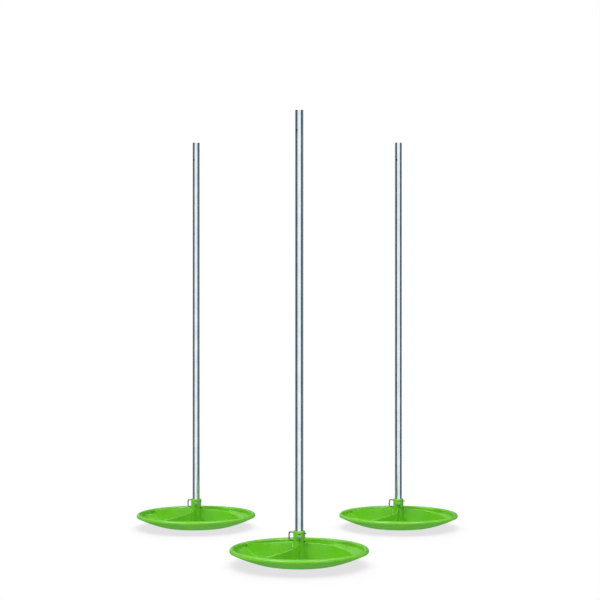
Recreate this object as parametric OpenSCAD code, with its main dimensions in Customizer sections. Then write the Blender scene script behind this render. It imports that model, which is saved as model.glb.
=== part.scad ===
// Set of three free-standing weave poles for dog agility.
// Each stands in a shallow moulded dish with four swirled ribs and a tall socket.
// A U-shaped wire pin locks the pole in its socket and a set screw takes up the play.
// Millimetres, +Z up. The origin is on the ground, in the middle of the set.

/* [Layout] */
// Distance between the two rear poles
pair_gap = 582; // [520:1:900]
// Distance from the front pole to the line of the rear poles
row_gap = 600; // [520:10:900]
// Sideways place of the front pole
front_x = 6; // [-60:1:60]

/* [Pole] */
// Outside diameter of the tube
pole_d = 20; // [18:0.5:24]
// Wall of the tube
pole_wall = 1.5; // [1:0.1:2.5]
// Cut length of the tube
pole_length = 1079; // [800:1:1200]
// Distance from either end of the tube to its cross hole
end_hole = 50; // [44:1:56]
// Diameter of the free cross hole at the top
top_hole_d = 5.5; // [4:0.1:8]
// Chamfer left by deburring the tube ends
deburr = 0.4; // [0.2:0.1:0.6]

/* [Dish] */
// Diameter over the rim
rim_d = 340; // [310:2:380]
// Height of the rim above the ground
rim_h = 34; // [30:1:40]
// Width of the rounded rim
rim_w = 12; // [10:0.5:14]
// Height of the upright band outside, between the rounding of the rim and the one under it
band_h = 1.2; // [0.6:0.1:2]
// Rounding under that band
skirt_round = 2; // [1:0.5:3]
// Diameter of the foot
foot_d = 204; // [180:2:220]
// Width of the standing ring
foot_w = 8; // [6:1:12]
// Height that the floor is raised inside the standing ring
foot_recess = 1.5; // [1:0.1:2.5]
// Wall of the moulding
wall = 3; // [2.5:0.1:4]

/* [Ribs] */
// Number of swirled ribs
rib_count = 4; // [4:1:5]
// Thickness of a rib
rib_t = 3; // [2.4:0.1:4]
// Rise of the ribs above the rim, at the socket
rib_rise = 14; // [12:1:20]
// Radius at which the ribs come down to the height of the rim
rib_level_r = 145; // [120:1:150]
// Direction in which the first rib leaves the socket
rib_turn = -8; // [-20:1:10]
// Length of the straight root of a rib, from the axis
rib_straight = 40; // [30:1:60]
// Bend radius of the swirl
rib_bend = 107; // [95:1:130]
// Width of the relief notch where the left rib meets the socket
notch_w = 4; // [2:0.5:6]
// Depth of that notch
notch_depth = 12.5; // [5:0.5:14]

/* [Socket] */
// Gap between tube and socket
pole_fit = 0.15; // [0.1:0.05:0.3]
// Wall of the socket
socket_wall = 4.4; // [3:0.05:5]
// Diameter of the drain below the tube
drain_d = 14; // [8:0.5:15]
// Rounding outside the socket's mouth
mouth_round = 1.2; // [0.6:0.1:1.4]
// Chamfer that leads the tube into the socket
mouth_lead = 0.6; // [0.3:0.1:0.8]
// Fillet where the socket meets the floor
root_round = 5; // [2:0.5:8]
// Material above the upper leg of the lock pin
socket_top = 5; // [4:0.5:8]

/* [Lock pin] */
// Diameter of the wire
wire_d = 3.2; // [2.8:0.1:4]
// Running fit of the wire in its holes, all round
wire_fit = 0.05; // [0.02:0.01:0.08]
// Direction in which the two ends of the pin point
pin_turn = -35; // [-40:1:-20]
// Distance between the two legs
leg_gap = 19.6; // [18:0.2:24]
// Gap between the ribs and the lower leg
leg_clear = 1.8; // [1:0.1:3]
// Inside bend radius of the wire
wire_bend = 2.6; // [2:0.1:4]
// Room for a finger between the socket and the loop
loop_gap = 14; // [10:0.5:18]
// Length by which the ends stand out of the socket
tip_out = 6.5; // [4:0.5:9]
// Length of the pointed end
tip_taper = 2.5; // [1:0.1:3]
// Diameter of the flat at the very end
tip_d = 1.3; // [0.8:0.1:2]

/* [Clamp screw] */
// Thread diameter
screw_d = 5; // [4:0.5:5.5]
// Running fit of the screw in its nut, all round
thread_fit = 0.05; // [0.02:0.01:0.08]
// Extra radius of the hole in the socket
screw_clear = 0.3; // [0.2:0.05:0.6]
// Length of the screw under its head
screw_length = 10; // [9:0.5:14]
// Chamfer at the point of the screw
screw_point = 0.6; // [0.4:0.1:1]
// Width across flats of head and nut
hex_af = 8; // [7.5:0.1:8.5]
// Diameter of the flat face inside the chamfer of head and nut
hex_face_d = 7.4; // [7:0.1:7.5]
// Height of the head
head_h = 3.5; // [3:0.1:4.5]
// Thickness of the nut
nut_h = 4; // [3:0.1:4.5]
// Gap between nut and pocket
nut_fit = 0.15; // [0.1:0.05:0.3]
// Direction in which the screw points
screw_turn = -88; // [-100:1:-70]
// Height of the screw above the middle between the legs of the pin
screw_lift = 1.2; // [-1:0.1:2]
// Gap between the end of the screw and the tube
screw_tip_gap = 0.3; // [0.2:0.05:0.5]
// Material between the bore and the nut
nut_web = 2.1; // [1.6:0.1:3]
// Wall of the boss around the nut
boss_wall = 2.8; // [2:0.1:4]
// Material under the lowest corner of the nut
boss_floor = 2.2; // [1.6:0.1:3]
// Gap between the top of the boss and the upper cross hole
boss_gap = 1; // [0.5:0.1:2]
// Rounding of the boss's upright edges
boss_round = 1.5; // [1:0.1:2]

/* [Hidden] */

dish_green = "#55B81C";
tube_steel = "#B9C0C8";
wire_grey = "#6F7880";
zinc_grey = "#8794A8";

pole_r = pole_d / 2;
socket_r = pole_r + pole_fit;
collar_r = socket_r + socket_wall;
wire_r = wire_d / 2;
wire_hole_r = wire_r + wire_fit;
screw_r = screw_d / 2;

rib_top_z = rim_h + rib_rise;
low_leg_z = rib_top_z + leg_clear + wire_r;
high_leg_z = low_leg_z + leg_gap;
seat_z = high_leg_z - end_hole;
pole_top_z = seat_z + pole_length;
collar_top_z = high_leg_z + socket_top;
screw_z = (low_leg_z + high_leg_z) / 2 + screw_lift;

rim_r = rim_d / 2;
foot_r = foot_d / 2;
bead_r = rim_w / 2;
lip_z = rim_h - bead_r - band_h - skirt_round;
lip_r = rim_r - skirt_round;
bead_mid_r = rim_r - bead_r;
floor_z = foot_recess + wall;

// The underside is part of a sphere through the edge of the foot and the lower edge of the rim.
belly_z = (lip_r * lip_r + lip_z * lip_z - foot_r * foot_r) / (2 * lip_z);
belly_r = sqrt(foot_r * foot_r + belly_z * belly_z);

// The tops of the ribs lie on a sphere that is highest over the socket.
dome_r = (rib_level_r * rib_level_r + rib_rise * rib_rise) / (2 * rib_rise);
dome_z = rib_top_z - dome_r;

rib_step = 360 / rib_count;
notch_turn = rib_turn + rib_step * round(180 / rib_step);

hex_r = hex_af / 2 / cos(30);
nut_in = socket_r + nut_web;
boss_out = nut_in + nut_h + nut_fit + boss_wall;
boss_w = hex_af + 2 * (nut_fit + boss_wall);
boss_low_z = screw_z - hex_r - boss_floor;
boss_high_z = high_leg_z - wire_hole_r - boss_gap;
screw_in = pole_r + screw_tip_gap;
head_in = screw_in + screw_length;

// Cuts start this far outside what they cut.
over = 1;
// Shapes that meet end to end share this length, so that they fuse.
fuse = 0.01;
fine = 360;
round_fn = 96;
small_fn = 48;

// Section of the dish's wall, floor, standing ring and rim, to be turned about the axis.
module dish_section() {
    intersection() {
        translate([0, belly_z]) {
            difference() {
                circle(r = belly_r, $fn = fine);
                circle(r = belly_r - wall, $fn = fine);
            }
        }
        translate([foot_r - foot_w, 0]) square([bead_mid_r - foot_r + foot_w, rim_h - bead_r]);
    }
    intersection() {
        translate([0, belly_z]) circle(r = belly_r, $fn = fine);
        union() {
            translate([0, foot_recess]) square([foot_r + foot_w, wall]);
            translate([foot_r - foot_w, 0]) square([foot_w, floor_z]);
        }
    }
    rim_section();
}

// Round-topped rim with an upright outer band that turns in under itself.
module rim_section() {
    translate([bead_mid_r, rim_h - bead_r]) circle(r = bead_r, $fn = small_fn);
    translate([rim_r - skirt_round, lip_z + skirt_round]) circle(r = skirt_round, $fn = small_fn);
    translate([rim_r - rim_w, lip_z + skirt_round]) square([rim_w, band_h]);
    intersection() {
        translate([0, belly_z]) circle(r = belly_r, $fn = fine);
        translate([rim_r - rim_w, lip_z - wall]) square([rim_w - skirt_round, rim_h - bead_r - lip_z + wall]);
    }
}

// Space inside the bowl, out to the middle of its wall, below the dome of the ribs.
module rib_section() {
    intersection() {
        translate([0, dome_z]) circle(r = dome_r, $fn = fine);
        translate([0, belly_z]) circle(r = belly_r - wall / 2, $fn = fine);
        translate([0, foot_recess + wall / 2]) square([bead_mid_r, rib_top_z]);
    }
}

// One rib seen from above: a straight root, then an arc that bends clockwise to the rim.
module rib_plan() {
    translate([0, -rib_t / 2]) square([rib_straight + fuse, rib_t]);
    translate([rib_straight, -rib_bend]) {
        intersection() {
            difference() {
                circle(r = rib_bend + rib_t / 2, $fn = fine);
                circle(r = rib_bend - rib_t / 2, $fn = fine);
            }
            square(rib_bend + rib_t);
        }
    }
}

module ribs() {
    intersection() {
        rotate_extrude($fn = fine) rib_section();
        for (i = [0 : rib_count - 1]) {
            rotate([0, 0, rib_turn + i * rib_step]) {
                linear_extrude(height = rib_top_z + over) rib_plan();
            }
        }
    }
}

// Outside of the socket, with a fillet at the floor and a rounded mouth.
module socket_section() {
    translate([0, foot_recess]) square([collar_r, collar_top_z - mouth_round - foot_recess]);
    square_top = collar_r - mouth_round;
    translate([0, foot_recess]) square([square_top, collar_top_z - foot_recess]);
    translate([square_top, collar_top_z - mouth_round]) circle(r = mouth_round, $fn = small_fn);
    difference() {
        translate([0, floor_z - wall / 2]) square([collar_r + root_round, root_round + wall / 2]);
        translate([collar_r + root_round, floor_z + root_round]) circle(r = root_round, $fn = small_fn);
    }
}

// Boss that holds the nut, pointing along +X.
module boss() {
    translate([0, 0, boss_low_z]) {
        linear_extrude(height = boss_high_z - boss_low_z) {
            translate([0, -boss_w / 2]) square([boss_out - boss_round, boss_w]);
            translate([0, -boss_w / 2 + boss_round]) square([boss_out, boss_w - 2 * boss_round]);
            for (side = [-1, 1]) {
                translate([boss_out - boss_round, side * (boss_w / 2 - boss_round)]) {
                    circle(r = boss_round, $fn = small_fn);
                }
            }
        }
    }
}

// Hexagonal bar along +X with two of its flats upright.
module hex_bar(radius, length) {
    rotate([0, 90, 0]) cylinder(r = radius, h = length, $fn = 6);
}

// Same bar for head and nut, its corners turned down at 30 degrees at the far end.
module turned_hex(length) {
    slope = (hex_r - hex_face_d / 2) * tan(30);
    intersection() {
        hex_bar(hex_r, length);
        rotate([0, 90, 0]) rotate_extrude($fn = round_fn) {
            polygon([[0, 0], [hex_r + over, 0], [hex_r + over, length - slope - over * tan(30)],
                [hex_face_d / 2, length], [0, length]]);
        }
    }
}

// Pocket that the nut drops into from above.
module nut_pocket() {
    pocket_h = nut_h + 2 * nut_fit;
    translate([nut_in - nut_fit, 0, screw_z]) {
        hex_bar(hex_r + nut_fit, pocket_h);
        translate([0, -hex_af / 2 - nut_fit, 0]) {
            cube([pocket_h, hex_af + 2 * nut_fit, boss_high_z - screw_z + over]);
        }
    }
}

// Both cross holes of the lock pin, through everything within reach of the axis.
module pin_holes(reach) {
    for (z = [low_leg_z, high_leg_z]) {
        rotate([0, 0, pin_turn]) translate([-reach, 0, z]) rotate([0, 90, 0]) {
            cylinder(r = wire_hole_r, h = 2 * reach, $fn = round_fn);
        }
    }
}

module dish() {
    color(dish_green) difference() {
        union() {
            rotate_extrude($fn = fine) dish_section();
            ribs();
            rotate_extrude($fn = round_fn) socket_section();
            rotate([0, 0, screw_turn]) boss();
        }
        translate([0, 0, seat_z]) cylinder(r = socket_r, h = pole_length, $fn = round_fn);
        translate([0, 0, -over]) cylinder(d = drain_d, h = seat_z + 2 * over, $fn = round_fn);
        translate([0, 0, collar_top_z - mouth_lead]) {
            cylinder(r1 = socket_r, r2 = socket_r + mouth_lead + over, h = mouth_lead + over, $fn = round_fn);
        }
        pin_holes(collar_r + over);
        rotate([0, 0, screw_turn]) {
            translate([0, 0, screw_z]) rotate([0, 90, 0]) {
                cylinder(r = screw_r + screw_clear, h = boss_out + over, $fn = small_fn);
            }
            nut_pocket();
        }
        rotate([0, 0, notch_turn]) {
            translate([collar_r, -rib_t, rib_top_z - notch_depth]) {
                cube([notch_w, 2 * rib_t, notch_depth + over]);
            }
        }
    }
}

// Half section of the tube, with both ends deburred.
module tube_section() {
    inner = pole_r - pole_wall;
    polygon([
        [inner, deburr], [inner + deburr, 0], [pole_r - deburr, 0], [pole_r, deburr],
        [pole_r, pole_length - deburr], [pole_r - deburr, pole_length],
        [inner + deburr, pole_length], [inner, pole_length - deburr]
    ]);
}

module pole() {
    color(tube_steel) difference() {
        translate([0, 0, seat_z]) rotate_extrude($fn = round_fn) tube_section();
        pin_holes(pole_r + over);
        rotate([0, 0, pin_turn - 90]) {
            translate([-pole_r - over, 0, pole_top_z - end_hole]) rotate([0, 90, 0]) {
                cylinder(d = top_hole_d, h = 2 * (pole_r + over), $fn = round_fn);
            }
        }
    }
}

// One leg of the pin, from its bend to its pointed end, along +X.
module pin_leg(start, stop) {
    rotate([0, 90, 0]) {
        translate([0, 0, start]) cylinder(r = wire_r, h = stop - tip_taper - start, $fn = small_fn);
        translate([0, 0, stop - tip_taper]) {
            cylinder(d1 = wire_d, d2 = tip_d, h = tip_taper, $fn = small_fn);
        }
    }
}

// Quarter bend of the wire in the XZ plane, from pointing along -X to pointing down.
module wire_corner(mid_r) {
    rotate([90, 0, 0]) rotate([0, 0, 90]) {
        rotate_extrude(angle = 90, $fn = round_fn) {
            translate([mid_r, 0]) circle(r = wire_r, $fn = small_fn);
        }
    }
}

module lock_pin() {
    mid_r = wire_bend + wire_r;
    back = -(collar_r + loop_gap + wire_r);
    stop = collar_r + tip_out;
    color(wire_grey) rotate([0, 0, pin_turn]) {
        translate([0, 0, high_leg_z]) pin_leg(back + mid_r, stop);
        translate([0, 0, low_leg_z]) pin_leg(back + mid_r, stop);
        translate([back, 0, low_leg_z + mid_r]) {
            cylinder(r = wire_r, h = leg_gap - 2 * mid_r, $fn = small_fn);
        }
        translate([back + mid_r, 0, high_leg_z - mid_r]) wire_corner(mid_r);
        translate([back + mid_r, 0, low_leg_z + mid_r]) mirror([0, 0, 1]) wire_corner(mid_r);
    }
}

module clamp_screw() {
    color(zinc_grey) rotate([0, 0, screw_turn]) translate([0, 0, screw_z]) {
        translate([head_in, 0, 0]) turned_hex(head_h);
        rotate([0, 90, 0]) {
            translate([0, 0, screw_in + screw_point]) {
                cylinder(r = screw_r, h = screw_length - screw_point, $fn = small_fn);
            }
            translate([0, 0, screw_in]) {
                cylinder(r1 = screw_r - screw_point, r2 = screw_r, h = screw_point, $fn = small_fn);
            }
        }
    }
}

module clamp_nut() {
    color(zinc_grey) rotate([0, 0, screw_turn]) translate([nut_in, 0, screw_z]) {
        difference() {
            turned_hex(nut_h);
            translate([-over, 0, 0]) rotate([0, 90, 0]) {
                cylinder(r = screw_r + thread_fit, h = nut_h + 2 * over, $fn = small_fn);
            }
        }
    }
}

module at_front() {
    translate([front_x, -row_gap / 2, 0]) children();
}

module at_left() {
    translate([-pair_gap / 2, row_gap / 2, 0]) children();
}

module at_right() {
    translate([pair_gap / 2, row_gap / 2, 0]) children();
}

at_front() dish();  // front_dish
at_front() pole();  // front_pole
at_front() lock_pin();  // front_lock_pin
at_front() clamp_screw();  // front_clamp_screw
at_front() clamp_nut();  // front_clamp_nut
at_left() dish();  // left_dish
at_left() pole();  // left_pole
at_left() lock_pin();  // left_lock_pin
at_left() clamp_screw();  // left_clamp_screw
at_left() clamp_nut();  // left_clamp_nut
at_right() dish();  // right_dish
at_right() pole();  // right_pole
at_right() lock_pin();  // right_lock_pin
at_right() clamp_screw();  // right_clamp_screw
at_right() clamp_nut();  // right_clamp_nut
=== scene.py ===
"""Looks of three free-standing weave poles: moulded green dishes, bright steel tubes and small hardware."""
import math

import bmesh
import bpy
import numpy as np
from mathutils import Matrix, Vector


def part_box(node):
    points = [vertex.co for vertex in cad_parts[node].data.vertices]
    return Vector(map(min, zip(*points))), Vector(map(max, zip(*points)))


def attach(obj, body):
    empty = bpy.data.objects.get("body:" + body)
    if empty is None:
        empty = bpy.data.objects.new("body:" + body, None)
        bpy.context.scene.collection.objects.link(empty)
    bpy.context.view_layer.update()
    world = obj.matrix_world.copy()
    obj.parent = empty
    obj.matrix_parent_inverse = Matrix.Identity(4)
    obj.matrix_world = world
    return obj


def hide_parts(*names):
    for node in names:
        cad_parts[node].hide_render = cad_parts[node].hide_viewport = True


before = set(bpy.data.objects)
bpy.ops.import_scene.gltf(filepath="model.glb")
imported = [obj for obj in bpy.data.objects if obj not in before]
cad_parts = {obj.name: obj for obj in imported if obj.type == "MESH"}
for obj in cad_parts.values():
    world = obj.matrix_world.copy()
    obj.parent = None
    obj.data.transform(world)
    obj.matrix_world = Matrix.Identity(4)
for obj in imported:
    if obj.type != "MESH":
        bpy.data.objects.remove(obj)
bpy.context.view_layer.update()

MM = 0.001
UNITS = ("front", "left", "right")

# Points of a mesh within this many metres of each other are merged. Edges that turn by more than this
# many degrees are shown sharp.
MERGE_WITHIN = 1e-7
SHARP_FROM = 35


def middle(node):
    """Middle of a CAD node's box, in millimetres."""
    low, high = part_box(node)
    return [(a + b) / 2 / MM for a, b in zip(low, high)]


# The axis of each stand is the middle of its tube. Every piece is worked out round an axis at 0, 0.
AXIS = {unit: np.array([*middle(f"{unit}_pole")[:2], 0.0]) for unit in UNITS}
DISH_LOW, DISH_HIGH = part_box("front_dish")
POLE_LOW, POLE_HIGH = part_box("front_pole")


# ---------------------------------------------------------------- sizes in millimetres

# Dish: rim, bowl and foot
RIM_R = (DISH_HIGH.x - DISH_LOW.x) / 2 / MM
RIM_H = 34
RIM_W = 12
BEAD_R = RIM_W / 2
BAND_H = 1.2
SKIRT_ROUND = 2
FOOT_R = 102
FOOT_W = 8
FOOT_ROUND = 0.8
FOOT_LEAN = 15
RECESS = 1.5
WALL = 3
FLOOR_Z = RECESS + WALL
FLOOR_BLEND = 25
INNER_RIM_R = RIM_R - RIM_W
RIM_FILLET = 1.5
LIP_Z = RIM_H - BEAD_R - BAND_H - SKIRT_ROUND
LIP_R = RIM_R - SKIRT_ROUND

# The underside is part of a sphere through the edge of the foot and the lower edge of the rim.
BELLY_Z = (LIP_R ** 2 + LIP_Z ** 2 - FOOT_R ** 2) / (2 * LIP_Z)
BELLY_R = math.hypot(FOOT_R, BELLY_Z)

# Ribs: straight at the socket, then bent. Their tops lie on a sphere that is highest over the socket.
RIB_COUNT = 4
RIB_HALF = 1.4
RIB_DRAFT = 0.3
RIB_ROOT = 3
RIB_FLARE = 1.5
RIB_RISE = 14
RIB_LEVEL_R = 145
RIB_TURN = -8
RIB_STRAIGHT = 40
RIB_BEND = 107
RIB_SOCKET_FILLET = 3
RIB_RIM_BLEND = 1.5
RIB_TOP_Z = RIM_H + RIB_RISE
DOME_R = (RIB_LEVEL_R ** 2 + RIB_RISE ** 2) / (2 * RIB_RISE)
DOME_Z = RIB_TOP_Z - DOME_R

# Relief notch in one rib, beside the socket
NOTCH_TURN = RIB_TURN + 180
NOTCH_W = 4
NOTCH_DEPTH = 12.5
NOTCH_HALF = 3 * RIB_HALF

# Tube
TUBE_R = (POLE_HIGH.x - POLE_LOW.x) / 2 / MM
TUBE_WALL = 1.5
TUBE_EDGE = 0.4
SEAT_Z = POLE_LOW.z / MM
TUBE_TOP_Z = POLE_HIGH.z / MM
END_HOLE = 50
TOP_HOLE_R = 2.75

# Socket
TUBE_FIT = 0.15
SOCKET_WALL = 4.4
BORE_R = TUBE_R + TUBE_FIT
COLLAR_R = BORE_R + SOCKET_WALL
COLLAR_TOP_Z = DISH_HIGH.z / MM
DRAIN_R = 7
DRAIN_CHAMFER = 0.8
MOUTH_ROUND = 1.2
MOUTH_LEAD = 0.6
ROOT_ROUND = 5

# Lock pin: a U of round wire
WIRE_R = 1.6
WIRE_FIT = 0.05
WIRE_HOLE_R = WIRE_R + WIRE_FIT
PIN_TURN = -35
LEG_OVER_RIB = 1.8
LOW_LEG_Z = RIB_TOP_Z + LEG_OVER_RIB + WIRE_R
HIGH_LEG_Z = SEAT_Z + END_HOLE
INNER_BEND_R = 2.6
WIRE_BEND_R = INNER_BEND_R + WIRE_R
LOOP_GAP = 14
PIN_BACK = COLLAR_R + LOOP_GAP + WIRE_R
TIP_OUT = 6.5
PIN_TIP = COLLAR_R + TIP_OUT
TIP_TAPER = 2.5
TIP_RUN = 2
LEG_START = TIP_TAPER + TIP_RUN
# The point of a leg: distance in from its end, and the wire's radius there
WIRE_POINT = ((0, 0), (0, 0.5), (0.1, 0.62), (0.35, 0.8), (2.2, 1.5), (TIP_TAPER, WIRE_R))

# Clamp screw, along +X before it is turned into place
SCREW_TURN = -88
SCREW_LIFT = 1.2
SCREW_Z = (LOW_LEG_Z + HIGH_LEG_Z) / 2 + SCREW_LIFT
SCREW_R = 2.5
SCREW_FIT = 0.3
SCREW_HOLE_R = SCREW_R + SCREW_FIT
SCREW_GAP = 0.3
SCREW_IN = TUBE_R + SCREW_GAP
SCREW_LENGTH = 10
SCREW_POINT = 0.6
SCREW_POINT_IN = 0.15
THREAD_PITCH = 0.8
THREAD_DEPTH = 0.45
THREAD_STEPS = 8
THREAD_STOP = 0.3
NECK = 0.2
HEAD_IN = SCREW_IN + SCREW_LENGTH
HEAD_H = 3.5
HEX_HALF = 4
HEX_ANGLE = math.radians(30)
HEX_R = HEX_HALF / math.cos(HEX_ANGLE)
HEX_FACE_R = 3.7

# Clamp nut and the boss round it, along +X too
THREAD_FIT = 0.05
NUT_BORE_R = SCREW_R + THREAD_FIT
NUT_H = 4
NUT_FIT = 0.15
NUT_SINK = 0.35
NUT_COVER = 2.1
NUT_IN = BORE_R + NUT_COVER
BOSS_COVER = 1
BOSS_IN = BORE_R + BOSS_COVER
BOSS_WALL = 2.8
BOSS_OUT = NUT_IN + NUT_H + NUT_FIT + BOSS_WALL
BOSS_HALF = HEX_HALF + NUT_FIT + BOSS_WALL
BOSS_FLOOR = 2.2
BOSS_LOW_Z = SCREW_Z - HEX_R - BOSS_FLOOR
BOSS_UNDER_LEG = 1
BOSS_HIGH_Z = HIGH_LEG_Z - WIRE_HOLE_R - BOSS_UNDER_LEG
BOSS_ROUND = 1.5
BOSS_EDGE = 0.6

# How far the cutters run past the part that they cut
PAST_SOCKET = 5
PAST_RIB = 5
PAST_TUBE = 2
PAST_BOSS = 1


# ---------------------------------------------------------------- profiles and grids

def line(start, stop, steps):
    """Evenly spaced points of a straight line, from start to just before stop."""
    share = np.linspace(0, 1, steps, endpoint=False)[:, None]
    return np.array(start) * (1 - share) + np.array(stop) * share


def arc(centre, radius, start, stop, steps):
    """Points of a circle from angle start to just before angle stop, in degrees."""
    angle = np.radians(np.linspace(start, stop, steps, endpoint=False))
    return np.array(centre) + radius * np.column_stack([np.cos(angle), np.sin(angle)])


def full_turn(columns):
    """Angle, in radians, of each column of a grid that closes round an axis."""
    return np.linspace(0, 2 * math.pi, columns, endpoint=False)


def ring_rows(radius, angle, z):
    """Grid of rings round the Z axis, one to a row: X and Y are the row's radius times the cosine and sine
    of the angle, and the height is z."""
    radius = np.repeat(np.array(radius, float)[:, None], angle.shape[-1], axis=1)
    z = np.broadcast_to(z, radius.shape)
    return np.stack([radius * np.cos(angle), radius * np.sin(angle), z], axis=-1)


def mesh_of(name, grid, loop_rows=False):
    """Mesh of a grid of points in millimetres: rows by columns by x, y, z. Each four neighbours make a
    face and the last column joins the first. The last row joins the first if loop_rows. Points that fall
    together are merged."""
    rows, columns = grid.shape[:2]
    row = np.arange(rows if loop_rows else rows - 1)[:, None]
    column = np.arange(columns)[None, :]
    next_row = (row + 1) % rows * columns
    next_column = (column + 1) % columns
    row = row * columns
    faces = np.stack([row + column, row + next_column, next_row + next_column, next_row + column], axis=-1)
    mesh = bpy.data.meshes.new(name)
    mesh.from_pydata((grid.reshape(-1, 3) * MM).tolist(), [], faces.reshape(-1, 4).tolist())
    work = bmesh.new()
    work.from_mesh(mesh)
    bmesh.ops.remove_doubles(work, verts=work.verts, dist=MERGE_WITHIN)
    bmesh.ops.recalc_face_normals(work, faces=work.faces)
    work.to_mesh(mesh)
    work.free()
    return mesh


def points_of(mesh):
    """A mesh's points in metres, one to a row."""
    points = np.empty(len(mesh.vertices) * 3)
    mesh.vertices.foreach_get("co", points)
    return points.reshape(-1, 3)


def turned(points, degrees):
    """The same points turned about the Z axis."""
    c, s = math.cos(math.radians(degrees)), math.sin(math.radians(degrees))
    return points @ np.array([[c, s, 0], [-s, c, 0], [0, 0, 1]])


def shown_mesh(mesh, cutters=(), additions=()):
    """The mesh with the additions joined on and then the cutters taken away, both by exact booleans."""
    for operation, others in (("UNION", additions), ("DIFFERENCE", cutters)):
        for other in others:
            body = bpy.data.objects.new("body", mesh)
            tool = bpy.data.objects.new("tool", other)
            for thing in (body, tool):
                bpy.context.scene.collection.objects.link(thing)
            cut = body.modifiers.new("cut", "BOOLEAN")
            cut.operation = operation
            cut.solver = "EXACT"
            cut.object = tool
            bpy.context.view_layer.update()
            shaped = body.evaluated_get(bpy.context.evaluated_depsgraph_get())
            mesh = bpy.data.meshes.new_from_object(shaped)
            bpy.data.objects.remove(body)
            bpy.data.objects.remove(tool)
    return mesh


def place(kind, mesh, body, material):
    """One copy of a mesh on each stand, in place of the CAD node of the same kind."""
    mesh.shade_smooth()
    mesh.set_sharp_from_angle(angle=math.radians(SHARP_FROM))
    mesh.materials.clear()
    mesh.materials.append(material)
    points = points_of(mesh)
    for unit in UNITS:
        copy = mesh.copy()
        copy.name = f"{unit}_{kind}"
        copy.vertices.foreach_set("co", (points + AXIS[unit] * MM).ravel())
        copy.update()
        piece = bpy.data.objects.new(f"{unit}_{kind}_shown", copy)
        bpy.context.scene.collection.objects.link(piece)
        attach(piece, f"{unit}_{body}")
        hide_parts(f"{unit}_{kind}")


# ---------------------------------------------------------------- dish

def rib_angle(offset, radius):
    """Angle, in radians from the rib's straight root, of the point at this radius that lies at this
    distance to the left of the rib's middle line. On the root it is the arcsine of offset over radius. On
    the bend it is where the circle of that radius crosses the circle of radius bend plus offset about the
    middle of the bend."""
    hub = math.hypot(RIB_STRAIGHT, RIB_BEND)
    hub_angle = math.atan2(-RIB_BEND, RIB_STRAIGHT)
    cosine = (radius ** 2 + hub ** 2 - (RIB_BEND + offset) ** 2) / (2 * radius * hub)
    bent = hub_angle + np.arccos(np.clip(cosine, -1, 1))
    straight = np.arcsin(np.clip(offset / radius, -1, 1))
    return np.where(radius ** 2 > RIB_STRAIGHT ** 2 + offset ** 2, bent, straight)


def rib_half_section():
    """Columns on one side of a rib, from its middle outwards: distance from the middle line, fall from the
    top, rise above the bowl, and whether the column is on the top. The top is a half circle, the side
    leans out by the draft, and the root is a quarter circle."""
    top = np.radians([22.5, 45, 67.5, 90])
    root = np.radians([0, 22.5, 45, 67.5, 90])
    root_offset = RIB_HALF + RIB_DRAFT + RIB_ROOT * (1 - np.cos(root))
    offset = np.concatenate([RIB_HALF * np.sin(top), root_offset])
    fall = np.concatenate([RIB_HALF * (1 - np.cos(top)), np.zeros(len(root))])
    rise = np.concatenate([np.zeros(len(top)), RIB_ROOT * (1 - np.sin(root))])
    return offset, fall, rise, np.arange(len(offset)) < len(top)


def dish_columns(radius, plain):
    """Angle of every column at each radius: the section of each rib, then plain columns spread evenly up to
    the next rib. Near the socket the ribs widen by a fillet in plan."""
    offset = rib_half_section()[0]
    gap = np.clip(COLLAR_R + RIB_FLARE - radius, 0, RIB_FLARE)
    flare = RIB_FLARE - np.sqrt(RIB_FLARE ** 2 - gap ** 2)
    wide = offset + flare[:, None] * np.minimum(offset / RIB_HALF, 1)
    left = rib_angle(wide, radius[:, None])
    right = rib_angle(-wide, radius[:, None])
    middle_line = rib_angle(np.zeros(1), radius[:, None])
    step = 2 * math.pi / RIB_COUNT
    share = np.arange(1, plain + 1) / (plain + 1)
    between = left[:, -1:] * (1 - share) + (right[:, -1:] + step) * share
    one = np.concatenate([right[:, ::-1], middle_line, left, between], axis=1)
    return np.concatenate([one + i * step for i in range(RIB_COUNT)], axis=1) + math.radians(RIB_TURN)


def ribbed_height(radius, base, plain):
    """Height of every point of the upper side. On a rib's columns it is the bowl's height plus the rib's
    rise. The rib's top lies on the dome, curves up to the socket and sinks smoothly into the rim."""
    top = DOME_Z + np.sqrt(DOME_R ** 2 - radius ** 2)
    near = np.clip(COLLAR_R + RIB_SOCKET_FILLET - radius, 0, RIB_SOCKET_FILLET)
    top = top + RIB_SOCKET_FILLET - np.sqrt(RIB_SOCKET_FILLET ** 2 - near ** 2)
    over = top - base
    blend = np.clip(RIB_RIM_BLEND - np.abs(over), 0, None) ** 2 / (4 * RIB_RIM_BLEND)
    height = (np.maximum(over, 0) + blend)[:, None]
    _, fall, rise, is_top = rib_half_section()
    side = np.where(is_top, height - fall * np.minimum(1, height / (2 * RIB_HALF)),
                    rise * np.minimum(1, height / (2 * RIB_ROOT)))
    one = np.concatenate([side[:, ::-1], height, side, np.zeros((len(radius), plain))], axis=1)
    return base[:, None] + np.concatenate([one] * RIB_COUNT, axis=1)


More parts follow.
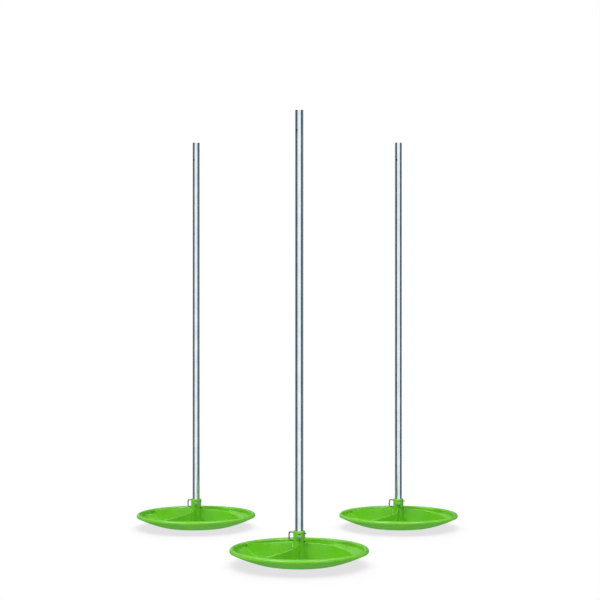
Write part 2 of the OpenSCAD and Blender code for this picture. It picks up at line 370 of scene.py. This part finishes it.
def bowl_profile():
    """Radius and height of the upper side without ribs: root of the socket, floor, a blend into the inner
    sphere of the bowl, fillet under the rim, and the upper half of the rim's bead."""
    inner = BELLY_R - WALL
    blend_r = math.sqrt((inner - FLOOR_BLEND) ** 2 - (BELLY_Z - FLOOR_Z - FLOOR_BLEND) ** 2)
    blend_turn = math.degrees(math.atan2(blend_r, BELLY_Z - FLOOR_Z - FLOOR_BLEND))
    fillet_r = INNER_RIM_R - RIM_FILLET
    fillet_z = BELLY_Z - math.sqrt((inner - RIM_FILLET) ** 2 - fillet_r ** 2)
    fillet_turn = math.degrees(math.atan2(fillet_r, BELLY_Z - fillet_z))
    return np.concatenate([
        arc((COLLAR_R + ROOT_ROUND, FLOOR_Z + ROOT_ROUND), ROOT_ROUND, 180, 270, 6),
        line((COLLAR_R + ROOT_ROUND, FLOOR_Z), (blend_r, FLOOR_Z), 15),
        arc((blend_r, FLOOR_Z + FLOOR_BLEND), FLOOR_BLEND, -90, -90 + blend_turn, 4),
        arc((0, BELLY_Z), inner, -90 + blend_turn, -90 + fillet_turn, 9),
        arc((fillet_r, fillet_z), RIM_FILLET, -90 + fillet_turn, 0, 4),
        arc((RIM_R - BEAD_R, RIM_H - BEAD_R), BEAD_R, 180, 0, 16),
    ])


def under_profile():
    """Radius and height of the outside: upright band, rounding under it, the belly's sphere, the standing
    ring and the raised floor inside it."""
    lip_turn = math.degrees(math.atan2(LIP_R, BELLY_Z - LIP_Z))
    foot_turn = math.degrees(math.atan2(FOOT_R, BELLY_Z - FOOT_ROUND))
    inner = FOOT_R - FOOT_W
    return np.concatenate([
        line((RIM_R, RIM_H - BEAD_R), (RIM_R, LIP_Z + SKIRT_ROUND), 1),
        arc((RIM_R - SKIRT_ROUND, LIP_Z + SKIRT_ROUND), SKIRT_ROUND, 0, -90, 5),
        arc((0, BELLY_Z), BELLY_R, -90 + lip_turn, -90 + foot_turn, 11),
        arc((FOOT_R - FOOT_ROUND, FOOT_ROUND), FOOT_ROUND, -FOOT_LEAN, -90, 3),
        line((FOOT_R - FOOT_ROUND, 0), (inner + FOOT_ROUND, 0), 1),
        arc((inner + FOOT_ROUND, FOOT_ROUND), FOOT_ROUND, -90, -180, 3),
        line((inner, FOOT_ROUND), (inner, RECESS), 1),
        line((inner, RECESS), (DRAIN_R + DRAIN_CHAMFER, RECESS), 6),
    ])


def bore_profile():
    """Radius and height of the drain, the ledge that the tube stands on, the bore, its chamfered mouth and
    the rounding outside it."""
    return np.array([
        (DRAIN_R + DRAIN_CHAMFER, RECESS), (DRAIN_R, RECESS + DRAIN_CHAMFER),
        (DRAIN_R, SEAT_Z), (BORE_R, SEAT_Z),
        (BORE_R, COLLAR_TOP_Z - MOUTH_LEAD), (BORE_R + MOUTH_LEAD, COLLAR_TOP_Z),
        *arc((COLLAR_R - MOUTH_ROUND, COLLAR_TOP_Z - MOUTH_ROUND), MOUTH_ROUND, 90, 0, 5),
        (COLLAR_R, COLLAR_TOP_Z - MOUTH_ROUND),
    ])


def dish_mesh(plain=24):
    """One closed skin. Each column is a cut through the axis: up the bore, down the socket, across the
    bowl, over the rim and back underneath, where the columns swing back to the angles they started at."""
    bowl, under, bore = bowl_profile(), under_profile(), bore_profile()
    radius, base = bowl.T
    angle = dish_columns(radius, plain)
    z = ribbed_height(radius, base, plain)
    down = np.array([1 / 3, 2 / 3])[:, None]
    wall_z = bore[-1, 1] * (1 - down) + z[0] * down
    swing = np.clip((under[:, :1] - DRAIN_R) / (FOOT_R - FOOT_W - DRAIN_R), 0, 1)
    return mesh_of("dish", np.concatenate([
        ring_rows(bore[:, 0], angle[0], bore[:, 1:]),
        ring_rows([COLLAR_R, COLLAR_R], angle[0], wall_z),
        ring_rows(radius, angle, z),
        ring_rows(under[:, 0], angle[-1] * swing + angle[0] * (1 - swing), under[:, 1:]),
    ]), loop_rows=True)


def boss_mesh():
    """Rounded box round the nut, grown out of the socket's wall. Its outline seen from above has two
    rounded corners; towards top and bottom it is drawn in along a quarter circle."""
    corner = BOSS_OUT - BOSS_ROUND
    side = BOSS_HALF - BOSS_ROUND
    outline = np.concatenate([
        line((BOSS_IN, -BOSS_HALF), (corner, -BOSS_HALF), 4),
        arc((corner, -side), BOSS_ROUND, -90, 0, 6),
        line((BOSS_OUT, -side), (BOSS_OUT, side), 4),
        arc((corner, side), BOSS_ROUND, 0, 90, 6),
        line((corner, BOSS_HALF), (BOSS_IN, BOSS_HALF), 4),
        line((BOSS_IN, BOSS_HALF), (BOSS_IN, -BOSS_HALF), 4),
    ])
    centre = np.array([(BOSS_IN + corner) / 2, 0])
    edge = np.radians(np.linspace(0, 90, 5))
    inset = BOSS_EDGE * (1 - np.sin(edge))
    level = BOSS_EDGE * (1 - np.cos(edge))
    insets = np.concatenate([[BOSS_HALF], inset, inset[::-1], [BOSS_HALF]])[:, None, None]
    levels = np.concatenate([[BOSS_LOW_Z], BOSS_LOW_Z + level, BOSS_HIGH_Z - level[::-1], [BOSS_HIGH_Z]])
    reach = np.abs(outline - centre).max(axis=0)
    plan = centre + (outline - centre) * np.clip(1 - insets / reach, 0, 1)
    height = np.broadcast_to(levels[:, None, None], (*plan.shape[:2], 1))
    return mesh_of("boss", turned(np.concatenate([plan, height], axis=-1), SCREW_TURN))


def prism(outline, start, stop, turn):
    """Closed bar along +X from start to stop with this outline in Y and Z, turned about the Z axis."""
    outline = np.array(outline, float)
    centre = np.repeat(outline.mean(axis=0, keepdims=True), len(outline), 0)
    rings = [np.column_stack([np.full(len(outline), x), ring])
             for x, ring in ((start, centre), (start, outline), (stop, outline), (stop, centre))]
    return mesh_of("prism", turned(np.stack(rings), turn))


def round_hole(radius, z, start, stop, turn, steps=40):
    """Cutter of a round hole at height z, along +X from start to stop, turned about the Z axis."""
    return prism(arc((0, z), radius, 0, 360, steps), start, stop, turn)


def pin_holes(reach):
    """Cutters of the lock pin's two cross holes, as far as reach on both sides of the axis."""
    return [round_hole(WIRE_HOLE_R, z, -reach, reach, PIN_TURN) for z in (LOW_LEG_Z, HIGH_LEG_Z)]


def dish_cutters():
    """Both cross holes of the lock pin, the screw's hole, the nut's pocket and the relief notch."""
    pocket = HEX_HALF + NUT_FIT
    corner = pocket * math.tan(HEX_ANGLE)
    pocket_top = BOSS_HIGH_Z + PAST_BOSS
    pocket_outline = [(-pocket, pocket_top), (-pocket, SCREW_Z - corner), (0, SCREW_Z - 2 * corner),
                      (pocket, SCREW_Z - corner), (pocket, pocket_top)]
    low, high = RIB_TOP_Z - NOTCH_DEPTH, RIB_TOP_Z + PAST_RIB
    notch_outline = [(-NOTCH_HALF, low), (NOTCH_HALF, low), (NOTCH_HALF, high), (-NOTCH_HALF, high)]
    return [
        *pin_holes(COLLAR_R + PAST_SOCKET),
        round_hole(SCREW_HOLE_R, SCREW_Z, 0, BOSS_OUT + PAST_BOSS, SCREW_TURN),
        prism(pocket_outline, NUT_IN - NUT_FIT, NUT_IN + NUT_H + NUT_FIT, SCREW_TURN),
        prism(notch_outline, COLLAR_R, COLLAR_R + NOTCH_W, NOTCH_TURN),
    ]


# ---------------------------------------------------------------- tube and hardware

def tube_mesh(columns=96):
    """Tube with rounded edges at both ends: one closed skin turned about the axis. Its attribute, inside,
    is 0 on the outer wall and 1 on the inner wall: the distance in from the outer wall over the wall's
    thickness."""
    inner = TUBE_R - TUBE_WALL
    low, high = SEAT_Z + TUBE_EDGE, TUBE_TOP_Z - TUBE_EDGE
    profile = np.concatenate([
        line((TUBE_R, low), (TUBE_R, high), 24),
        arc((TUBE_R - TUBE_EDGE, high), TUBE_EDGE, 0, 90, 4),
        arc((inner + TUBE_EDGE, high), TUBE_EDGE, 90, 180, 4),
        line((inner, high), (inner, low), 24),
        arc((inner + TUBE_EDGE, low), TUBE_EDGE, 180, 270, 4),
        arc((TUBE_R - TUBE_EDGE, low), TUBE_EDGE, 270, 360, 4),
    ])
    skin = mesh_of("tube", ring_rows(profile[:, 0], full_turn(columns), profile[:, 1:]), loop_rows=True)
    reach = TUBE_R + PAST_TUBE
    top_hole = round_hole(TOP_HOLE_R, TUBE_TOP_Z - END_HOLE, -reach, reach, PIN_TURN - 90)
    mesh = shown_mesh(skin, cutters=[*pin_holes(reach), top_hole])
    from_axis = np.hypot(*points_of(mesh).T[:2]) / MM
    inside = np.clip((TUBE_R - from_axis) / TUBE_WALL, 0, 1).astype(np.float32)
    # This attribute masks the painted shade on the bore and on the walls of the holes.
    mesh.attributes.new("inside", "FLOAT", "POINT").data.foreach_set("value", inside)
    return mesh


def lock_pin_mesh(columns=28):
    """Round wire carried along a U: a ring of points across the path at each step. The path is two legs,
    two quarter bends and a straight back; towards each end the wire narrows to a rounded point."""
    depth, point_r = np.array(WIRE_POINT).T
    ends = len(depth)
    leg_x, bend_x = PIN_TIP - LEG_START, WIRE_BEND_R - PIN_BACK
    low_z, high_z = LOW_LEG_Z + WIRE_BEND_R, HIGH_LEG_Z - WIRE_BEND_R
    path = np.concatenate([
        np.column_stack([PIN_TIP - depth, np.full(ends, LOW_LEG_Z)]),
        line((leg_x, LOW_LEG_Z), (bend_x, LOW_LEG_Z), 8),
        arc((bend_x, low_z), WIRE_BEND_R, 270, 180, 12),
        line((-PIN_BACK, low_z), (-PIN_BACK, high_z), 3),
        arc((bend_x, high_z), WIRE_BEND_R, 180, 90, 12),
        line((bend_x, HIGH_LEG_Z), (leg_x, HIGH_LEG_Z), 8),
        np.column_stack([PIN_TIP - depth[::-1], np.full(ends, HIGH_LEG_Z)]),
    ])
    radius = np.full(len(path), WIRE_R)
    radius[:ends], radius[-ends:] = point_r, point_r[::-1]
    along = np.gradient(path, axis=0)
    along[:ends], along[-ends:] = (-1, 0), (1, 0)
    along /= np.linalg.norm(along, axis=1, keepdims=True)
    across = np.column_stack([-along[:, 1], along[:, 0]])
    angle = full_turn(columns)
    x = path[:, :1] + radius[:, None] * across[:, :1] * np.sin(angle)
    z = path[:, 1:] + radius[:, None] * across[:, 1:] * np.sin(angle)
    y = radius[:, None] * np.cos(angle)
    return mesh_of("lock_pin", turned(np.stack([x, y, z], axis=-1), PIN_TURN))


def hexagon(angle):
    """Radius of a hexagon with its corners up and down: half its width over the cosine of the angle from
    the nearest flat."""
    return HEX_HALF / np.cos((angle + HEX_ANGLE) % (2 * HEX_ANGLE) - HEX_ANGLE)


def bar(places, radius):
    """Grid of a bar along +X at the screw's height, turned to the screw's place: before the turn, Y and Z
    are the radius times the cosine and sine of the column's angle."""
    angle = full_turn(radius.shape[1])
    x = np.broadcast_to(np.array(places, float)[:, None], radius.shape)
    grid = np.stack([x, radius * np.cos(angle), radius * np.sin(angle)], axis=-1)
    return turned(grid + [0, 0, SCREW_Z], SCREW_TURN)


def hex_rows(start, stop, angle):
    """Places and radii of a hexagonal bar whose corners are turned down at 30 degrees at the far end: the
    radius is the smaller of the hexagon's and the cone's."""
    slope = math.tan(HEX_ANGLE)
    depth = np.linspace((HEX_R - HEX_FACE_R) * slope, 0, 7)
    places = np.concatenate([[start], stop - depth])
    cone = np.concatenate([[HEX_R], HEX_FACE_R + depth / slope])
    return places, np.minimum(hexagon(angle), cone[:, None])


def clamp_screw_mesh(columns=72):
    """Hexagon screw along +X. On the thread the radius falls from the crest by a triangle wave of the place
    over the pitch minus the angle over a full turn."""
    angle = full_turn(columns)
    shank = np.arange(SCREW_IN + SCREW_POINT, HEAD_IN - THREAD_STOP, THREAD_PITCH / THREAD_STEPS)
    wave = np.abs((shank[:, None] / THREAD_PITCH - angle / (2 * math.pi)) % 1 * 2 - 1)
    thread = SCREW_R - THREAD_DEPTH * wave
    core = np.full(columns, SCREW_R - THREAD_DEPTH)
    closed = np.zeros(columns)
    head_x, head_r = hex_rows(HEAD_IN, HEAD_IN + HEAD_H, angle)
    places = np.concatenate([[SCREW_IN, SCREW_IN], shank, [HEAD_IN - NECK, HEAD_IN], head_x,
                             [HEAD_IN + HEAD_H]])
    radius = np.concatenate([[closed, core - SCREW_POINT_IN], thread, [core, core], head_r, [closed]])
    return mesh_of("clamp_screw", bar(places, radius))


def clamp_nut_mesh(columns=72):
    """Hexagon nut along +X: the outer surface of a turned-down hexagonal bar joined to a bore with a
    countersink at each end."""
    nut_out = NUT_IN + NUT_H
    outer_x, outer_r = hex_rows(NUT_IN, nut_out, full_turn(columns))
    bore = np.full(columns, NUT_BORE_R)
    places = np.concatenate([outer_x, [nut_out, nut_out - NUT_SINK, NUT_IN + NUT_SINK, NUT_IN]])
    radius = np.concatenate([outer_r, [bore + NUT_SINK, bore, bore, bore + NUT_SINK]])
    return mesh_of("clamp_nut", bar(places, radius), loop_rows=True)


# ---------------------------------------------------------------- colour and nodes

def linear(hex_colour):
    """sRGB hex to linear RGBA: the lower part is divided by 12.92, the rest follows the 2.4 power curve."""
    values = [int(hex_colour[i:i + 2], 16) / 255 for i in (1, 3, 5)]
    return [v / 12.92 if v <= 0.04045 else ((v + 0.055) / 1.055) ** 2.4 for v in values] + [1.0]


def empty_tree(owner):
    """The node tree of a material or a world, emptied."""
    owner.use_nodes = True
    owner.node_tree.nodes.clear()
    return owner.node_tree


def add(tree, kind, inputs=None, out=0, **settings):
    """Adds a node, sets its own properties, fills its inputs, each named or numbered, with a value or with
    another node's output, and gives back one of its outputs. In a Mix node input 0 is the share, 2 and 3
    are numbers, and 6 and 7 are colours, which come out of output 2."""
    node = tree.nodes.new("ShaderNode" + kind)
    for key, value in settings.items():
        setattr(node, key, value)
    for key, value in (inputs or {}).items():
        if isinstance(value, bpy.types.NodeSocket):
            tree.links.new(value, node.inputs[key])
        else:
            node.inputs[key].default_value = value
    return node.outputs[out] if node.outputs else None


def per_mm(size):
    """Scale of a pattern on Object coordinates, which are in metres, with features of this many
    millimetres."""
    return 1 / (size * MM)


# Most values of a noise pattern lie between these two.
NOISE = {"From Min": 0.3, "From Max": 0.7}

# The dish is scuffed where it stands: heights in millimetres at which the scuff ends and is full, and what
# it adds to the roughness
SCUFF_END = 1.5
SCUFF_FULL = 0.4
SCUFF_ROUGH = 0.3

# How many times longer than wide the draw lines of the tube are
DRAW_LENGTH = 300


def green_polypropylene():
    """Injection-moulded polypropylene: a satin skin with broad soft highlights, a faint orange peel, very
    slight cloudiness where the melt flowed, and a dull scuffed ring where it stands on the ground."""
    material = bpy.data.materials.new("moulded_green_polypropylene")
    tree = empty_tree(material)
    where = add(tree, "TexCoord", out="Object")
    cloud = add(tree, "TexNoise", {"Vector": where, "Scale": per_mm(70)})
    peel = add(tree, "TexNoise", {"Vector": where, "Scale": per_mm(1.6), "Detail": 1.0})
    rub = add(tree, "TexNoise", {"Vector": where, "Scale": per_mm(9), "Detail": 4.0, "Roughness": 0.6})
    height = add(tree, "SeparateXYZ", {0: where}, out="Z")
    scuff = add(tree, "MapRange",
                {"Value": height, "From Min": SCUFF_END * MM, "From Max": SCUFF_FULL * MM})
    flow = add(tree, "MapRange", {"Value": cloud, **NOISE})
    colour = add(tree, "Mix", {0: flow, 6: linear("#69BF1A"), 7: linear("#73C820")}, 2, data_type="RGBA")
    dull = add(tree, "Mix", {0: scuff, 6: colour, 7: linear("#7DBE3A")}, 2, data_type="RGBA")
    satin = add(tree, "MapRange", {"Value": rub, **NOISE, "To Min": 0.26, "To Max": 0.40})
    matt = add(tree, "Math", {0: scuff, 1: SCUFF_ROUGH}, operation="MULTIPLY")
    rough = add(tree, "Math", {0: satin, 1: matt}, operation="ADD")
    bump = add(tree, "Bump", {"Strength": 0.25, "Distance": 0.03 * MM, "Height": peel})
    shader = add(tree, "BsdfPrincipled",
                 {"Base Color": dull, "Roughness": rough, "IOR": 1.49, "Normal": bump})
    add(tree, "OutputMaterial", {"Surface": shader})
    return material


def bright_steel():
    """Bright drawn steel tube: a mirror with fine draw lines along it, which smear what it reflects
    sideways, and faint handling marks. Real draw lines are a few hundredths of a millimetre; these are
    drawn coarser to show. The bore is rougher and painted dark grey: painted shade that keeps the
    cross holes and the tube's open end dark."""
    material = bpy.data.materials.new("bright_drawn_steel")
    tree = empty_tree(material)
    where = add(tree, "TexCoord", out="Object")
    drawn = add(tree, "Mapping", {"Vector": where, "Scale": (1, 1, 1 / DRAW_LENGTH)})
    lines = add(tree, "TexNoise",
                {"Vector": drawn, "Scale": per_mm(0.6), "Detail": 3.0, "Roughness": 0.6})
    smudge = add(tree, "TexNoise", {"Vector": where, "Scale": per_mm(35), "Detail": 3.0})
    inside = add(tree, "Attribute", out="Fac", attribute_name="inside")
    handled = add(tree, "MapRange", {"Value": smudge, **NOISE})
    bright = add(tree, "Mix", {0: handled, 6: linear("#DCE8EE"), 7: linear("#EAF4F9")}, 2, data_type="RGBA")
    # Painted shade: the bore and the walls of the holes are painted dark grey so that they look dark.
    tone = add(tree, "Mix", {0: inside, 6: bright, 7: linear("#4A4846")}, 2, data_type="RGBA")
    grain = add(tree, "MapRange", {"Value": lines, **NOISE, "To Min": 0.10, "To Max": 0.18})
    grease = add(tree, "MapRange", {"Value": smudge, **NOISE, "To Min": 0, "To Max": 0.05})
    polish = add(tree, "Math", {0: grain, 1: grease}, operation="ADD")
    rough = add(tree, "Mix", {0: inside, 2: polish, 3: 0.55})
    bump = add(tree, "Bump", {"Strength": 0.3, "Distance": 0.006 * MM, "Height": lines})
    shader = add(tree, "BsdfPrincipled",
                 {"Base Color": tone, "Metallic": 1.0, "Roughness": rough, "Normal": bump})
    add(tree, "OutputMaterial", {"Surface": shader})
    return material


def spring_wire():
    """Drawn spring wire with a thin dark phosphate skin: dull grey, rubbed brighter in small patches."""
    material = bpy.data.materials.new("drawn_spring_wire")
    tree = empty_tree(material)
    where = add(tree, "TexCoord", out="Object")
    patch = add(tree, "TexNoise",
                {"Vector": where, "Scale": per_mm(2.5), "Detail": 4.0, "Roughness": 0.65})
    rubbed = add(tree, "MapRange", {"Value": patch, "From Min": 0.4, "From Max": 0.75})
    tone = add(tree, "Mix", {0: rubbed, 6: linear("#565E5F"), 7: linear("#82898A")}, 2, data_type="RGBA")
    rough = add(tree, "MapRange", {"Value": patch, **NOISE, "To Min": 0.45, "To Max": 0.3})
    bump = add(tree, "Bump", {"Strength": 0.3, "Distance": 0.01 * MM, "Height": patch})
    shader = add(tree, "BsdfPrincipled",
                 {"Base Color": tone, "Metallic": 1.0, "Roughness": rough, "Normal": bump})
    add(tree, "OutputMaterial", {"Surface": shader})
    return material


def zinc_plate():
    """Blue-passivated zinc plate on the screw and nut: a soft shine with a bluish cast and a fine
    crystalline mottle."""
    material = bpy.data.materials.new("blue_zinc_plated_steel")
    tree = empty_tree(material)
    where = add(tree, "TexCoord", out="Object")
    mottle = add(tree, "TexNoise", {"Vector": where, "Scale": per_mm(0.9), "Detail": 3.0})
    crystal = add(tree, "MapRange", {"Value": mottle, **NOISE})
    tone = add(tree, "Mix", {0: crystal, 6: linear("#76909A"), 7: linear("#8CA3AC")}, 2, data_type="RGBA")
    rough = add(tree, "MapRange", {"Value": mottle, **NOISE, "To Min": 0.26, "To Max": 0.36})
    shader = add(tree, "BsdfPrincipled", {"Base Color": tone, "Metallic": 1.0, "Roughness": rough})
    add(tree, "OutputMaterial", {"Surface": shader})
    return material


# ---------------------------------------------------------------- camera, light and ground

# Camera: lens and sensor in millimetres, places in metres, the shift as a share of the sensor
LENS = 81.2
SENSOR = 36
EYE_BACK = 3.295
EYE_UP = 0.583
EYE_X = 0.0079
VIEW_SHIFT = 0.0375
VIEW_END = 100

# Studio: the soft light's strength, then the screens that only gloss sees. A turn is in degrees from
# straight in front, the same to both sides. A height is the upward part of a direction of length one. In
# a pair, the first value is where a screen or a tone has no effect and the second where it has all of it.
SKY = 0.5
DARK_FROM = 48
DARK_TO = 154
DARK_BLUR = 4
PALER = (75, 125)
PALER_END = (158, 145)
SCREEN_TOP = (0.7, 0.4)
SCREEN_FOOT = (-0.23, -0.18)
SHARE_UNDER_FOOT = 0.7
RIGHT_HALF = (-0.02, 0.02)
UNDER_HORIZON = (0.04, -0.04)
SCREEN_DARK = "#3E4A52"
SCREEN_PALE = "#7F9198"
BACK_GREY = "#B4BEC4"

# Table: half its width, how far the shadow and the gloss reach, in metres, and tones. The shadow is full
# and gone at these shares of open sky.
TABLE_HALF = 20
TABLE_GLOW = 0.84
TABLE_BY_DISH = "#4C8A6C"
SHADOW_TONE = 0.75
SHADOW_FULL = 0.65
SHADOW_END = 0.88
SHADOW_REACH = 0.3
SHADOW_LEAN = (0, 1, 0)
SHADOW_SAMPLES = 16
GLOSS_REACH = 0.25

# Lamps: turn in degrees from the front towards the right, height in degrees, strength, softness in
# degrees, and whether the lamp shows only as a highlight
LAMPS = {
    "top_light": (-20, 80, 0.4, 60, False),
    "front_left_light": (-50, 42, 1.15, 15, False),
    "front_right_light": (32, 45, 0.45, 20, False),
    "left_light": (-85, 45, 0.35, 20, False),
    "right_light": (85, 45, 0.45, 20, False),
    "left_glint": (-34, 42, 0.8, 6, True),
    "right_glint": (37, 42, 1.1, 6, True),
}


def make_camera():
    """A level camera in front of the front pole; the shift lowers the picture without tilting the
    camera."""
    data = bpy.data.cameras.new("camera")
    data.sensor_width = SENSOR
    data.lens = LENS
    data.shift_y = VIEW_SHIFT
    data.clip_end = VIEW_END
    camera = bpy.data.objects.new("camera", data)
    bpy.context.scene.collection.objects.link(camera)
    camera.location = (EYE_X, AXIS["front"][1] * MM - EYE_BACK, EYE_UP)
    camera.rotation_euler = (math.radians(90), 0, 0)
    bpy.context.scene.camera = camera


def studio_colour(tree):
    """Colour of the studio in each direction. It is white in front and overhead. A dark screen stands on
    each side and gets paler towards the back. Straight behind it is light grey on the left, and dark on
    the right and under the horizon. Far down the screens are weaker and the rest is white, like the
    table. The turn is the arctangent of the distance aside over the distance in front."""
    toward = add(tree, "SeparateXYZ", {0: add(tree, "TexCoord", out="Generated")}).node.outputs
    aside = add(tree, "Math", {0: toward["X"]}, operation="ABSOLUTE")
    ahead = add(tree, "Math", {0: toward["Y"], 1: -1.0}, operation="MULTIPLY")
    angle = add(tree, "Math", {0: aside, 1: ahead}, operation="ARCTAN2")
    turn = add(tree, "Math", {0: angle, 1: 180 / math.pi}, operation="MULTIPLY")
    spans = {
        "past_front": (turn, (DARK_FROM - DARK_BLUR, DARK_FROM + DARK_BLUR)),
        "before_back": (turn, (DARK_TO + DARK_BLUR, DARK_TO - DARK_BLUR)),
        "paler": (turn, PALER),
        "still_pale": (turn, PALER_END),
        "under_top": (toward["Z"], SCREEN_TOP),
        "over_foot": (toward["Z"], SCREEN_FOOT),
        "right": (toward["X"], RIGHT_HALF),
        "under_horizon": (toward["Z"], UNDER_HORIZON),
    }
    step = {name: add(tree, "MapRange", {"Value": value, "From Min": nil, "From Max": full},
                      interpolation_type="SMOOTHSTEP")
            for name, (value, (nil, full)) in spans.items()}
    level = add(tree, "Math", {0: step["under_top"], 1: step["over_foot"]}, operation="MULTIPLY")
    dark_back = add(tree, "Math", {0: step["right"], 1: step["under_horizon"]}, operation="MAXIMUM")
    dark_back = add(tree, "Math", {0: dark_back, 1: level}, operation="MULTIPLY")
    screens = add(tree, "Math", {0: step["before_back"], 1: dark_back}, operation="MAXIMUM")
    screens = add(tree, "Math", {0: step["past_front"], 1: screens}, operation="MULTIPLY")
    share = add(tree, "MapRange", {"Value": step["over_foot"], "To Min": SHARE_UNDER_FOOT})
    share = add(tree, "Math", {0: share, 1: step["under_top"]}, operation="MULTIPLY")
    dark = add(tree, "Math", {0: screens, 1: share}, operation="MULTIPLY")
    pale = add(tree, "Math", {0: step["paler"], 1: step["still_pale"]}, operation="MULTIPLY")
    around = add(tree, "Math", {0: step["past_front"], 1: level}, operation="MULTIPLY")
    behind = add(tree, "Mix", {0: around, 6: (1, 1, 1, 1), 7: linear(BACK_GREY)}, 2, data_type="RGBA")
    screen = add(tree, "Mix", {0: pale, 6: linear(SCREEN_DARK), 7: linear(SCREEN_PALE)}, 2,
                 data_type="RGBA")
    return add(tree, "Mix", {0: dark, 6: behind, 7: screen}, 2, data_type="RGBA")


def make_world():
    """White to the camera, the studio to gloss, and a plain soft light from all round to the rest."""
    world = bpy.data.worlds.new("studio")
    bpy.context.scene.world = world
    tree = empty_tree(world)
    soft = add(tree, "Background", {"Color": linear("#F6F8FA"), "Strength": SKY})
    gloss = add(tree, "Background", {"Color": studio_colour(tree), "Strength": 1.0})
    white = add(tree, "Background", {"Color": (1, 1, 1, 1), "Strength": 1.0})
    path = add(tree, "LightPath").node.outputs
    lit = add(tree, "MixShader", {0: path["Is Glossy Ray"], 1: soft, 2: gloss})
    seen = add(tree, "MixShader", {0: path["Is Camera Ray"], 1: lit, 2: white})
    add(tree, "OutputWorld", {"Surface": seen})


def white_table():
    """A glowing white table. To the camera it is white, with a soft even shadow where the open sky over it
    is covered. Gloss sees it only from close by, darkened and tinged by the dish, and the studio from
    farther away."""
    material = bpy.data.materials.new("white_table")
    tree = empty_tree(material)
    path = add(tree, "LightPath").node.outputs
    lean = add(tree, "CombineXYZ", dict(enumerate(SHADOW_LEAN)))
    open_sky = add(tree, "AmbientOcclusion", {"Distance": SHADOW_REACH, "Normal": lean}, "AO",
                   samples=SHADOW_SAMPLES)
    tone = add(tree, "MapRange", {"Value": open_sky, "From Min": SHADOW_FULL, "From Max": SHADOW_END,
                                  "To Min": SHADOW_TONE}, interpolation_type="SMOOTHSTEP")
    shown = add(tree, "Emission", {"Color": (1, 1, 1, 1), "Strength": tone})
    level = add(tree, "Mix", {0: path["Is Glossy Ray"], 6: [TABLE_GLOW] * 3 + [1],
                              7: linear(TABLE_BY_DISH)}, 2, data_type="RGBA")
    glow = add(tree, "Emission", {"Color": level, "Strength": 1.0})
    far = add(tree, "Math", {0: path["Ray Length"], 1: GLOSS_REACH}, operation="GREATER_THAN")
    passed = add(tree, "Math", {0: far, 1: path["Is Glossy Ray"]}, operation="MULTIPLY")
    unseen = add(tree, "MixShader", {0: passed, 1: glow, 2: add(tree, "BsdfTransparent")})
    pick = add(tree, "MixShader", {0: path["Is Camera Ray"], 1: unseen, 2: shown})
    add(tree, "OutputMaterial", {"Surface": pick})
    return material


def make_floor():
    """The table's top: one large square at the height of the ground."""
    half = TABLE_HALF
    corners = [(-half, -half, 0), (half, -half, 0), (half, half, 0), (-half, half, 0)]
    mesh = bpy.data.meshes.new("floor")
    mesh.from_pydata(corners, [], [(0, 1, 2, 3)])
    mesh.materials.append(white_table())
    floor = bpy.data.objects.new("floor", mesh)
    bpy.context.scene.collection.objects.link(floor)


def make_lamps():
    """Large soft lamps, so far away that they light all three stands alike."""
    for name, (turn, height, strength, softness, only_gloss) in LAMPS.items():
        data = bpy.data.lights.new(name, "SUN")
        data.energy = strength
        data.angle = math.radians(softness)
        lamp = bpy.data.objects.new(name, data)
        bpy.context.scene.collection.objects.link(lamp)
        lamp.rotation_euler = (math.radians(90 - height), 0, math.radians(turn))
        lamp.visible_diffuse = not only_gloss


# ---------------------------------------------------------------- the scene

make_camera()
make_world()
make_floor()
make_lamps()

DISH = shown_mesh(dish_mesh(), dish_cutters(), [boss_mesh()])
ZINC = zinc_plate()
place("dish", DISH, "stand", green_polypropylene())
place("pole", tube_mesh(), "stand", bright_steel())
place("lock_pin", lock_pin_mesh(), "pin", spring_wire())
place("clamp_screw", clamp_screw_mesh(), "screw", ZINC)
place("clamp_nut", clamp_nut_mesh(), "stand", ZINC)

bpy.context.scene.view_settings.view_transform = "Standard"
